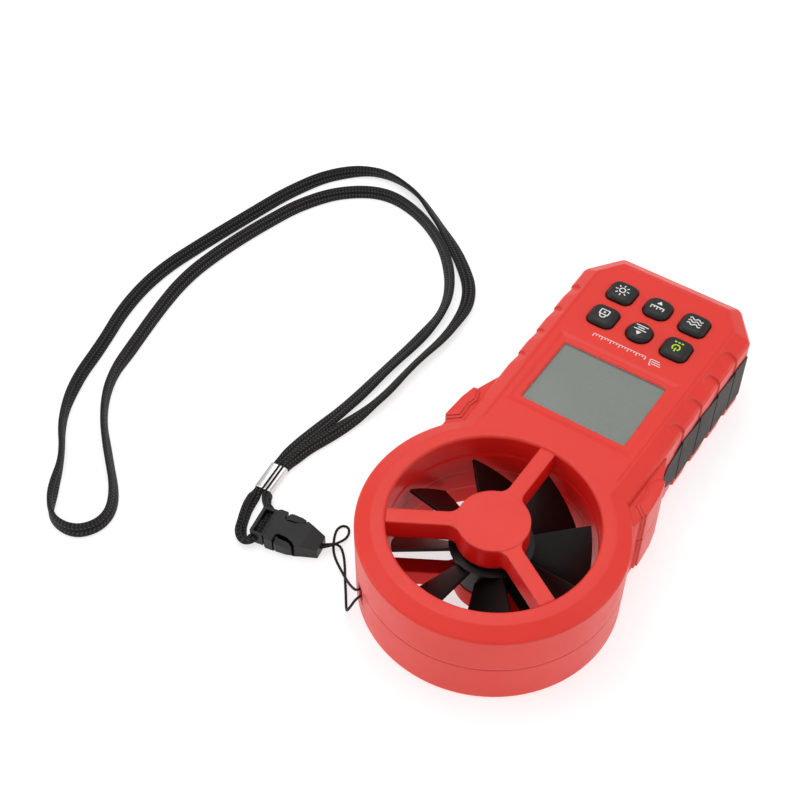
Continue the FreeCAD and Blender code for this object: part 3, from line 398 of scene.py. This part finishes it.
def bevel(made, width, segments, angle):
    """Rounds the edges that turn by more than angle (degrees)."""
    modifier = made.modifiers.new("soft edges", "BEVEL")
    modifier.width = width * MM
    modifier.segments = segments
    modifier.limit_method = "ANGLE"
    modifier.angle_limit = math.radians(angle)
    modifier.harden_normals = False


def rings_to_faces(ring_count, ring_size):
    """Quads between closed rings of points, each ring joined to the next."""
    faces = []
    for r in range(ring_count - 1):
        for k in range(ring_size):
            n = (k + 1) % ring_size
            low, high = r * ring_size, (r + 1) * ring_size
            faces.append((low + k, low + n, high + n, high + k))
    return faces


# ------------------------------------------------------------------ cords
def smooth_route(points, per_run):
    """Points read from the NURBS spline that has the route's points as its control points."""
    curve = bpy.data.curves.new("route", "CURVE")
    curve.dimensions = "3D"
    spline = curve.splines.new("NURBS")
    spline.points.add(len(points) - 1)
    for target, point in zip(spline.points, points):
        target.co = (*[c * MM for c in point], 1.0)
    spline.order_u = 3
    spline.use_endpoint_u = True
    spline.resolution_u = per_run
    holder = bpy.data.objects.new("route", curve)
    bpy.context.scene.collection.objects.link(holder)
    bpy.context.view_layer.update()
    graph = bpy.context.evaluated_depsgraph_get()
    mesh = bpy.data.meshes.new_from_object(holder.evaluated_get(graph))
    line = [v.co / MM for v in mesh.vertices]
    bpy.data.objects.remove(holder)
    bpy.data.curves.remove(curve)
    bpy.data.meshes.remove(mesh)
    return line


def along_route(values, count, spot):
    """A value given at each route point, read at spot (0 to 1) along the spline."""
    spans = count - 2
    places = [0.0] + [k + 0.5 for k in range(spans)] + [float(spans)]
    at = spot * spans
    k = 0
    while k < count - 2 and at > places[k + 1]:
        k += 1
    t = min(1.0, max(0.0, (at - places[k]) / (places[k + 1] - places[k])))
    t = t * t * (3 - 2 * t)
    return values[k] * (1 - t) + values[k + 1] * t


WEB_WIDTH = 5.0
WEB_THICK = 1.8
COLUMNS = 12                   # stitches round the braid
STITCH = 1.25                  # length of one stitch
WEB_STEPS = 42                 # points round the section
ROLL_WANDER = 4.0              # degrees that the braid rolls by chance
FLOOR_GAP = 0.06


def web_section(width, thick, steps):
    """Section of the flattened braid: full edges, a shallow groove along the middle of each face."""
    section = []
    for k in range(steps):
        angle = 2 * math.pi * k / steps
        c, s = math.cos(angle), math.sin(angle)
        x = math.copysign(abs(c) ** 0.75, c) * width / 2
        y = math.copysign(abs(s) ** 0.62, s) * thick / 2
        y *= 1.0 - 0.2 * math.exp(-((x / (width * 0.13)) ** 2))
        section.append((x, y))
    return section


def webbing(name, route, rolls, widths, thicks, body, replaced, per_run=40):
    """Flat braided cord along a route, turned about its own line by rolls (degrees)."""
    line = smooth_route(route, per_run)
    steps = WEB_STEPS
    points, uvs, path = [], [], []
    travelled = [0.0]
    for a, b in zip(line, line[1:]):
        travelled.append(travelled[-1] + (b - a).length)
    count = len(route)
    for k, centre in enumerate(line):
        ahead = (line[min(k + 1, len(line) - 1)] - line[max(k - 1, 0)]).normalized()
        spot = k / (len(line) - 1)
        roll = math.radians(along_route(rolls, count, spot) + ROLL_WANDER * noise.noise(centre * 0.05))
        width = along_route(widths, count, spot)
        thick = along_route(thicks, count, spot)
        side = ahead.cross(UP).normalized()
        lift = side.cross(ahead).normalized()
        wide = side * math.cos(roll) + lift * math.sin(roll)
        thin = lift * math.cos(roll) - side * math.sin(roll)
        section = web_section(width, thick, steps)
        lowest = min(x * wide.z + y * thin.z for x, y in section)
        middle = Vector((centre.x, centre.y, max(centre.z, FLOOR_GAP - lowest)))
        path.append(middle)
        points += [middle + wide * x + thin * y for x, y in section]
    faces = rings_to_faces(len(line), steps)
    for face in faces:
        r, k = divmod(face[0], steps)
        u0, u1 = k / steps * COLUMNS, (k + 1) / steps * COLUMNS
        v0, v1 = travelled[r] / STITCH, travelled[r + 1] / STITCH
        uvs.append([(u0, v0), (u1, v0), (u1, v1), (u0, v1)])
    last = (len(line) - 1) * steps
    faces += [tuple(reversed(range(steps))), tuple(range(last, last + steps))]
    uvs += [[(0.5, 0.5)] * steps, [(0.5, 0.5)] * steps]
    made = piece(name, points, faces, SLOT_MATERIALS["strap_black"], body, uvs=uvs)
    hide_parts(*replaced)
    return made, path, travelled[-1]


FERRULE_CENTRE = Vector((79.5, 47.1, 0))
FERRULE_AXIS = Vector((0.114, -0.993, 0)).normalized()
FERRULE_SIDE = Vector((0.993, 0.114, 0)).normalized()
FERRULE_LENGTH = 10.9
FERRULE_HALF = 3.1
FERRULE_TOP = 3.2
FERRULE_WALL = 0.32


def ferrule_point(along, side, z):
    point = FERRULE_CENTRE + FERRULE_AXIS * along + FERRULE_SIDE * side
    return (point.x, point.y, z)


STRAP_Z = 1.2
STRAND_OFFSET = 1.45
STRAP_ROUTE = [
    ferrule_point(FERRULE_LENGTH / 2, -STRAND_OFFSET, STRAP_Z),
    (78.8, 33.4, STRAP_Z), (74.0, 19.0, STRAP_Z), (69.0, -0.9, STRAP_Z), (68.8, -21.0, STRAP_Z),
    (66.5, -41.1, STRAP_Z), (69.9, -61.7, STRAP_Z), (84.6, -76.3, STRAP_Z), (102.5, -88.0, STRAP_Z),
    (119.2, -97.9, STRAP_Z), (137.2, -99.3, STRAP_Z), (150.4, -88.0, STRAP_Z), (158.3, -71.6, STRAP_Z),
    (162.9, -52.2, STRAP_Z), (167.6, -30.5, STRAP_Z), (172.2, -7.0, STRAP_Z), (170.5, 13.9, STRAP_Z),
    (164.8, 32.4, STRAP_Z), (161.0, 50.4, STRAP_Z), (153.4, 66.4, STRAP_Z), (141.3, 79.2, STRAP_Z),
    (134.8, 91.4, STRAP_Z), (127.9, 100.0, STRAP_Z), (117.3, 99.6, STRAP_Z), (112.3, 91.0, STRAP_Z),
    (116.6, 81.1, STRAP_Z), (130.0, 69.4, STRAP_Z), (143.1, 57.3, STRAP_Z), (152.0, 43.1, STRAP_Z),
    (155.4, 26.9, STRAP_Z), (159.3, 8.8, STRAP_Z), (162.2, -10.1, STRAP_Z), (160.3, -29.7, STRAP_Z),
    (156.0, -49.0, STRAP_Z), (150.9, -66.9, STRAP_Z), (141.0, -81.5, STRAP_Z), (127.1, -89.9, STRAP_Z),
    (111.1, -87.3, STRAP_Z), (95.7, -79.2, STRAP_Z), (82.4, -66.5, STRAP_Z), (74.2, -50.8, STRAP_Z),
    (74.0, -33.0, STRAP_Z), (75.6, -14.0, STRAP_Z), (76.8, 5.0, STRAP_Z), (79.6, 22.0, STRAP_Z),
    (81.6, 33.5, STRAP_Z),
    ferrule_point(FERRULE_LENGTH / 2, STRAND_OFFSET, STRAP_Z)]
STRAP_ROLLS = [
    0, -10, -5, 38, 48,
    38, 5, -10, -48,
    -62, -80, -112, -132,
    -136, -134, -138, -132,
    -124, -118, -102, -90,
    -110, -82, -72, -75,
    -67, -70, -80, -77,
    -56, -50, -38, -38,
    -40, -45, -68, -70,
    -75, -70, -50, -45,
    -20, -28, -15, -5,
    0,
    0]
STRAP_WIDTHS = [2.9, 4.4] + [WEB_WIDTH] * 43 + [4.4, 2.9]
STRAP_THICKS = [2.7, 2.0] + [WEB_THICK] * 43 + [2.0, 2.7]

strap, strap_path, strap_length = webbing("strap_loop_braid", STRAP_ROUTE, STRAP_ROLLS, STRAP_WIDTHS,
                                          STRAP_THICKS, "strap", ["strap_loop"])

BUCKLE_START = Vector((72.0, 64.2, 0))
BUCKLE_AXIS = Vector((-0.985, -0.174, 0)).normalized()
BUCKLE_SIDE = Vector((0.174, -0.985, 0)).normalized()
BUCKLE_LENGTH = 22.5


def buckle_point(along, side, z):
    point = BUCKLE_START + BUCKLE_AXIS * along + BUCKLE_SIDE * side
    return (point.x, point.y, z)


TAIL_ROUTE = [
    ferrule_point(-FERRULE_LENGTH / 2, STRAND_OFFSET, STRAP_Z), (79.7, 57.2, STRAP_Z), (78.3, 61.8, STRAP_Z),
    (76.4, 66.4, STRAP_Z), (74.2, 70.6, 1.6), (70.9, 71.6, 2.2), (69.5, 69.2, 2.6),
    buckle_point(2.4, -2.2, 2.4), buckle_point(2.4, 2.0, 2.4),
    (70.9, 58.5, 2.5), (72.9, 57.5, 2.2), (74.6, 55.7, 1.7), (76.1, 53.8, 1.3),
    ferrule_point(-FERRULE_LENGTH / 2, -STRAND_OFFSET, STRAP_Z)]
TAIL_ROLLS = [0, 40, 60, 62, 44, 20, 6, 0, 0, 30, 70, 60, 30, 0]
TAIL_WIDTHS = [2.9, 4.2, 4.8, 4.8, 4.6, 4.2, 3.4, 2.7, 2.7, 3.2, 4.0, 4.0, 3.6, 2.9]
TAIL_THICKS = [2.7, 1.9, 1.7, 1.7, 1.7, 1.7, 1.6, 1.5, 1.5, 1.6, 1.7, 1.8, 2.2, 2.7]
tail, _, _ = webbing("strap_tail_braid", TAIL_ROUTE, TAIL_ROLLS, TAIL_WIDTHS, TAIL_THICKS, "strap",
                     ["strap_tail_outer", "strap_tail_inner"], per_run=14)

THIN_D = 0.9
THIN_Z = THIN_D / 2
THIN_STEPS = 12                # points round the cord
PLIES = 3
LAY = 1.1                      # length along the cord in which one ply takes the place of the next
EYE_BAR_R = 0.4
EYE_AZIMUTH = 50.5
EYE_RADIUS = 39.9
EYE_WRAP = EYE_BAR_R + THIN_D / 2 + 0.3
STRAND_HALF = THIN_D / 2 + 0.12
EYE_CORD_Z = 12.4
TIP_OFFSET = 0.62


def tip_point(side):
    return buckle_point(BUCKLE_LENGTH, side, 2.7)


def eye_point(out, side, z):
    azimuth = math.radians(EYE_AZIMUTH)
    radial = Vector((math.cos(azimuth), math.sin(azimuth), 0))
    along = Vector((-math.sin(azimuth), math.cos(azimuth), 0))
    point = Vector((0, RING_Y, 0)) + radial * (EYE_RADIUS + out) + along * side
    return (point.x, point.y, z)


THIN_ROUTE = [
    tip_point(TIP_OFFSET), (48.9, 58.3, 2.1), (47.3, 56.4, 1.5), (45.2, 56.2, 1.35), (42.9, 58.0, 0.7),
    (40.4, 60.9, THIN_Z), (37.6, 64.8, THIN_Z), (34.2, 69.2, THIN_Z), (30.6, 74.1, THIN_Z), (28.2, 76.5, 5.2),
    eye_point(2.3, STRAND_HALF, 10.8), eye_point(-1.6, EYE_WRAP, EYE_CORD_Z),
    eye_point(-1.6, -EYE_WRAP, EYE_CORD_Z), eye_point(2.3, -STRAND_HALF, EYE_CORD_Z),
    (30.2, 70.9, 8.8), (33.6, 68.2, 4.9), (37.5, 65.1, 1.8), (41.0, 62.7, 0.6), (44.2, 60.6, THIN_Z),
    (46.7, 58.3, THIN_Z), (48.3, 55.9, THIN_Z), (49.7, 53.4, THIN_Z), (50.6, 50.8, THIN_Z),
    (49.9, 48.6, THIN_Z), (47.9, 48.2, THIN_Z), (46.4, 49.9, THIN_Z), (45.9, 52.4, 0.8), (46.1, 54.8, 1.8),
    (46.7, 57.0, 2.6), (47.9, 59.1, 2.75), tip_point(-TIP_OFFSET)]


def thin_cord(name, route, replaced):
    """Round twisted cord with three plies."""
    line = smooth_route(route, 16)
    steps = THIN_STEPS
    points, uvs = [], []
    travelled = [0.0]
    for a, b in zip(line, line[1:]):
        travelled.append(travelled[-1] + (b - a).length)
    side = Vector((1, 0, 0))
    for k, centre in enumerate(line):
        ahead = (line[min(k + 1, len(line) - 1)] - line[max(k - 1, 0)]).normalized()
        side = (side - ahead * side.dot(ahead)).normalized()
        other = ahead.cross(side)
        twist = travelled[k] * 2 * math.pi / PLIES / LAY
        for s in range(steps):
            angle = 2 * math.pi * s / steps
            radius = THIN_D / 2 * (0.93 + 0.07 * math.cos(PLIES * (angle + twist)))
            points.append(centre + side * math.cos(angle) * radius + other * math.sin(angle) * radius)
    faces = rings_to_faces(len(line), steps)
    for face in faces:
        r, k = divmod(face[0], steps)
        v0, v1 = travelled[r] / LAY, travelled[r + 1] / LAY
        uvs.append([(k / steps, v0), ((k + 1) / steps, v0), ((k + 1) / steps, v1), (k / steps, v1)])
    last = (len(line) - 1) * steps
    faces += [tuple(reversed(range(steps))), tuple(range(last, last + steps))]
    uvs += [[(0.5, 0.5)] * steps, [(0.5, 0.5)] * steps]
    made = piece(name, points, faces, CORD_BLACK, "case", uvs=uvs)
    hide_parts(*replaced)
    return made, line, travelled[-1]


thin, thin_path, thin_length = thin_cord("eye_cord_twist", THIN_ROUTE, ["eye_cord"])


# ------------------------------------------------------------------ crimped ferrule
def ferrule():
    """Folded metal sleeve: flat bright face, and two raised rails where the sheet is folded over."""
    half, top = FERRULE_HALF, FERRULE_TOP
    outline = [(-half + 0.75, 0.05), (half - 0.75, 0.05), (half - 0.2, 0.28), (half, 0.85),
               (half, top - 0.85), (half - 0.2, top - 0.28), (half - 0.75, top - 0.05),
               (0.6, top - 0.02), (0.32, top - 0.1), (0.2, top - 0.85), (-0.2, top - 0.85),
               (-0.32, top - 0.08), (-0.55, top), (-0.85, top), (-1.05, top - 0.1), (-1.15, top - 0.85),
               (-1.55, top - 0.85), (-1.65, top - 0.12), (-1.95, top - 0.04),
               (-half + 0.75, top - 0.1), (-half + 0.2, top - 0.34), (-half, top - 0.85), (-half, 0.85),
               (-half + 0.2, 0.28)]
    inner = []
    for x, z in outline:
        tall = top / 2 + (z - top / 2) * (1 - FERRULE_WALL / (top / 2))
        inner.append((x * (1 - FERRULE_WALL / half), tall))
    length = FERRULE_LENGTH / 2
    loops = []
    for along, grow in ((-length, -0.12), (-length + 0.12, 0.0), (-length + 0.5, 0.0), (-length + 0.9, -0.05),
                        (length - 0.9, -0.05), (length - 0.5, 0.0), (length - 0.12, 0.0), (length, -0.12)):
        loops.append([(along, x * (1 + grow / half), top / 2 + (z - top / 2) * (1 + grow / 1.6))
                      for x, z in outline])
    for along in (length, -length):
        loops.append([(along, x, z) for x, z in inner])
    loops.append(loops[0])
    points = [ferrule_point(a, x, z) for loop in loops for a, x, z in loop]
    faces = rings_to_faces(len(loops), len(outline))
    # the faces down in the fold seams are marked for painted shade: the metal darkens them to near black
    seams = [k for k, (x, z) in enumerate(outline) if abs(z - (top - 0.85)) < 0.001 and abs(x) < 1.6]
    seams += [k - 1 for k in seams]
    uvs = []
    for face in faces:
        shade = 0.9 if face[0] % len(outline) in seams else 0.1
        uvs.append([(shade, 0.5)] * 4)
    made = piece("ferrule_crimped", points, faces, SLOT_MATERIALS["ferrule_silver"], "strap",
                 uvs=uvs)
    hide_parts("strap_ferrule")
    bevel(made, 0.06, 2, 25)
    return made


ferrule_sleeve = ferrule()


# ------------------------------------------------------------------ keys
KEY_SHAPES = {
    "key_front_left": (4.65, 4.0), "key_front_middle": (4.3, 2.2), "key_front_right": (4.65, 4.0),
    "key_tail_left": (4.65, 4.0), "key_tail_middle": (4.55, 3.0), "key_tail_right": (4.65, 4.0)}
KEY_PLACES = {
    "key_front_left": (-13.4, -50.4), "key_front_middle": (0.0, -50.4), "key_front_right": (13.4, -50.4),
    "key_tail_left": (-13.4, -63.5), "key_tail_middle": (0.0, -63.5), "key_tail_right": (13.4, -63.5)}
KEY_TOP = 34.4
KEY_FOOT = 30.6
KEY_STEPS = 64                 # points round a key
CROWN_SHARES = (1.0, 0.99, 0.975, 0.95, 0.91, 0.86, 0.8, 0.72, 0.6, 0.45, 0.25, 0.08)
PRINT_PROUD = 0.03             # height of the print above the rubber


def crown(share):
    """Height of the key's top at a share of the way from its centre to its edge."""
    rim = max(0.0, (share - 0.66) / 0.34)
    return KEY_TOP - 0.3 * share * share - 0.95 * rim ** 2.4


def key_share(x, y, half, power):
    """How far a point is from the key's centre, as a share of the way to its rounded-square edge."""
    return ((abs(x) / half) ** power + (abs(y) / half) ** power) ** (1 / power)


def key_cap(name):
    """Rubber key: rounded square with a softly crowned top."""
    half, power = KEY_SHAPES[name]
    cx, cy = KEY_PLACES[name]
    steps = KEY_STEPS
    levels = [(1.0, KEY_FOOT), (1.0, FACE_Z - 0.1)]
    levels += [(share, crown(share)) for share in CROWN_SHARES]
    points = []
    for share, z in levels:
        for k in range(steps):
            angle = 2 * math.pi * (k + 0.5) / steps
            c, s = math.cos(angle), math.sin(angle)
            reach = half * share / (abs(c) ** power + abs(s) ** power) ** (1 / power)
            points.append((cx + reach * c, cy + reach * s, z))
    faces = rings_to_faces(len(levels), steps)
    faces.append(tuple(reversed(range(steps))))
    start = (len(levels) - 1) * steps
    faces.append(tuple(range(start, start + steps)))
    made = piece(name + "_cap", points, faces, SLOT_MATERIALS["key_rubber"], name)
    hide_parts(name)
    return made


for key in KEY_SHAPES:
    key_cap(key)


def ribbon(path, width, closed=False):
    """Flat stroke of a given width along a path: a list of quads as corner points."""
    dense = []
    pairs = list(zip(path, path[1:] + path[:1])) if closed else list(zip(path, path[1:]))
    for (x0, y0), (x1, y1) in pairs:
        parts = max(1, round(math.hypot(x1 - x0, y1 - y0) / 0.3))
        dense += [(x0 + (x1 - x0) * t / parts, y0 + (y1 - y0) * t / parts) for t in range(parts)]
    if not closed:
        dense.append(path[-1])
    left, right = [], []
    count = len(dense)
    for k in range(count):
        before = dense[k - 1] if (closed or k > 0) else dense[k]
        after = dense[(k + 1) % count] if (closed or k < count - 1) else dense[k]
        dx, dy = after[0] - before[0], after[1] - before[1]
        span = math.hypot(dx, dy) or 1.0
        nx, ny = -dy / span * width / 2, dx / span * width / 2
        left.append((dense[k][0] + nx, dense[k][1] + ny))
        right.append((dense[k][0] - nx, dense[k][1] - ny))
    quads = []
    for k in range(count if closed else count - 1):
        n = (k + 1) % count
        quads.append((right[k], right[n], left[n], left[k]))
    return quads


def arc(cx, cy, radius, start, end, parts=14):
    """Points along an arc from start to end (degrees)."""
    angles = [math.radians(start + (end - start) * t / parts) for t in range(parts + 1)]
    return [(cx + radius * math.cos(angle), cy + radius * math.sin(angle)) for angle in angles]


def disc(cx, cy, radius):
    return ribbon([(cx - radius, cy), (cx + radius, cy)], radius * 1.7)


def triangle(cx, cy, size, way):
    """A filled arrow head built from short strokes that widen; way is 1 for up, -1 for down."""
    quads = []
    for k in range(4):
        y = cy + way * size * (0.5 - (k + 0.5) / 4)
        half = size * 0.62 * (k + 0.8) / 4
        quads += ribbon([(cx - half, y), (cx + half, y)], size / 4 * 1.05)
    return quads


def marks(kind):
    """Generic symbols in the place of the printed words."""
    line = 0.42
    if kind == "light":
        quads = ribbon(arc(0, 0.2, 1.0, 0, 360, 20)[:-1], line, closed=True)
        for k in range(8):
            c, s = math.cos(math.pi * k / 4), math.sin(math.pi * k / 4)
            quads += ribbon([(1.65 * c, 0.2 + 1.65 * s), (2.5 * c, 0.2 + 2.5 * s)], line)
        return quads
    if kind == "unit":
        quads = triangle(0, -1.5, 1.5, -1)
        quads += ribbon([(-2.4, 0.5), (2.4, 0.5)], line)
        for k in range(5):
            quads += ribbon([(-2.2 + 1.1 * k, 0.5), (-2.2 + 1.1 * k, 1.8 if k % 2 == 0 else 1.3)], line * 0.9)
        return quads
    if kind == "range":
        quads = triangle(0, 1.6, 1.5, 1)
        quads += ribbon([(-2.2, 0.0), (2.2, 0.0)], line)
        quads += ribbon([(-2.2, -1.9), (2.2, -1.9)], line)
        quads += ribbon([(-1.2, -0.95), (1.2, -0.95)], line)
        return quads
    if kind == "hold":
        quads = ribbon([(-1.5, -1.7), (-1.5, 0.5), (1.5, 0.5), (1.5, -1.7)], line, closed=True)
        quads += ribbon([(-1.0, 0.5)] + arc(0, 0.9, 1.0, 180, 0, 10) + [(1.0, 0.5)], line)
        quads += disc(0, -0.6, 0.4)
        return quads
    if kind == "speed":
        quads = []
        for y in (1.3, 0.0, -1.3):
            wave = [(-2.4 + 0.4 * k, y + 0.42 * math.sin(k * math.pi / 3)) for k in range(13)]
            quads += ribbon(wave, line)
        return quads
    quads = ribbon(arc(0, 0.6, 1.25, -235, 55, 18), 0.5)
    quads += ribbon([(0, 2.4), (0, 0.7)], 0.5)
    for x in (-1.6, -0.4, 0.8):
        quads += ribbon([(x, -1.9), (x + 0.8, -1.9)], 0.55)
    return quads


def printed(name, quads, height, material, body):
    """Flat print: each quad laid at the height that height(x, y) gives."""
    points, faces = [], []
    for quad in quads:
        base = len(points)
        points += [(x, y, height(x, y)) for x, y in quad]
        faces.append((base, base + 1, base + 2, base + 3))
    return piece(name, points, faces, material, body, smooth=False)


KEY_MARKS = {"key_front_left": "power", "key_front_middle": "range", "key_front_right": "hold",
             "key_tail_left": "speed", "key_tail_middle": "unit", "key_tail_right": "light"}
for key, kind in KEY_MARKS.items():
    half, power = KEY_SHAPES[key]
    cx, cy = KEY_PLACES[key]
    placed = [[(cx + x, cy + y) for x, y in quad] for quad in marks(kind)]
    printed(key + "_mark", placed,
            lambda x, y: crown(key_share(x - cx, y - cy, half, power)) + PRINT_PROUD,
            LEGEND_LIME if kind == "power" else LEGEND_WHITE, key)


TITLE_Y = -41.6
TICKS = 19
TICK_START = -6.6
TICK_PITCH = 1.05


def title_marks():
    """A row of wind lines and scale ticks where the printed title stands."""
    y = TITLE_Y
    quads = []
    for k in range(3):
        quads += ribbon([(-12.6 + 0.5 * k, y + 0.9 - 0.9 * k), (-9.2 + 0.2 * k, y + 0.9 - 0.9 * k)]
                        + arc(-9.2 + 0.2 * k, y + 1.35 - 0.9 * k, 0.45, -90, 120, 8), 0.28)
    for k in range(TICKS):
        x = TICK_START + TICK_PITCH * k
        tall = 0.95 if k % 3 == 0 else 0.5
        quads += ribbon([(x, y - 0.8), (x, y - 0.8 + tall * 1.5)], 0.28)
    quads += ribbon([(TICK_START, y - 0.8), (TICK_START + TICK_PITCH * (TICKS - 1), y - 0.8)], 0.22)
    return quads


printed("title_marks", title_marks(), lambda x, y: FACE_Z + 0.02, LEGEND_WHITE, "case")

# ------------------------------------------------------------------ softened CAD pieces
for name in ("buckle_socket", "buckle_plug", "buckle_arm_a", "buckle_arm_b"):
    bevel(NODES[name], 0.28, 3, 35)

# ------------------------------------------------------------------ floor
floor_mesh = bpy.data.meshes.new("floor")
FLOOR_HALF = 6
floor_corners = [(FLOOR_HALF * x, FLOOR_HALF * y, 0) for x, y in ((-1, -1), (1, -1), (1, 1), (-1, 1))]
floor_mesh.from_pydata(floor_corners, [], [(0, 1, 2, 3)])
floor = bpy.data.objects.new("floor", floor_mesh)
paper = Graph("floor_paper")
paper_cloud = paper.remap(paper.grain(3.0, 2.0), 0.3, 0.7, 0.0, 1.0)
paper_tone = paper.blend(paper_cloud, (0.46, 0.46, 0.46), (0.48, 0.48, 0.48))
floor.data.materials.append(paper.set(Base_Color=paper_tone, Roughness=0.9, Specular_IOR_Level=0.1,
                                     Emission_Color=(1.0, 1.0, 1.0, 1.0), Emission_Strength=0.66))
bpy.context.scene.collection.objects.link(floor)
